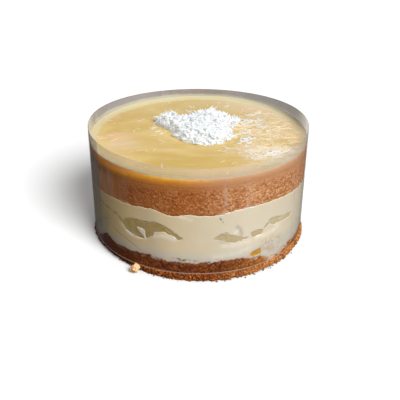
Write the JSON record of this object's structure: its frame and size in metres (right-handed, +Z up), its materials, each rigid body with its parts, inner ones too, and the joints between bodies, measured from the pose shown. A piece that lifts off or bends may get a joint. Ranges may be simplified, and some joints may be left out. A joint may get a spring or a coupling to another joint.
{
  "type": "pineapple cake",
  "caption": "Round layered pineapple cake with sponge, cream and fruit, a jelly top and shredded coconut, in a clear film collar.",
  "frame": {"origin": "centre of the underside, on the surface that the cake stands on", "axes": "+Z up; -Y towards the side that the picture shows; +X to the right as seen from there"},
  "size_m": [0.1538, 0.155, 0.0843],
  "materials": {
    "base_sponge": "crumbly reddish-brown sponge",
    "cream": "smooth ivory cream",
    "pineapple": "moist pale yellow fruit",
    "upper_sponge": "fine-crumbed golden-brown sponge",
    "jelly": "glossy yellow jelly, amber at its edge",
    "coconut": "white shredded coconut",
    "film": "thin clear plastic film"
  },
  "bodies": {
    "root": {"base_sponge": "base_sponge", "cream_filling": "cream", "pineapple_ring_slice": "pineapple", "pineapple_far_left": "pineapple", "pineapple_right": "pineapple", "pineapple_right_small": "pineapple", "pineapple_right_sliver": "pineapple", "pineapple_yellow_chunk": "pineapple", "pineapple_back_a": "pineapple", "pineapple_back_b": "pineapple", "pineapple_back_c": "pineapple", "pineapple_back_d": "pineapple", "pineapple_back_e": "pineapple", "pineapple_back_f": "pineapple", "pineapple_back_g": "pineapple", "upper_sponge": "upper_sponge", "jelly_top": "jelly", "coconut_heap": "coconut", "film_collar": "film"}
  },
  "joints": []
}
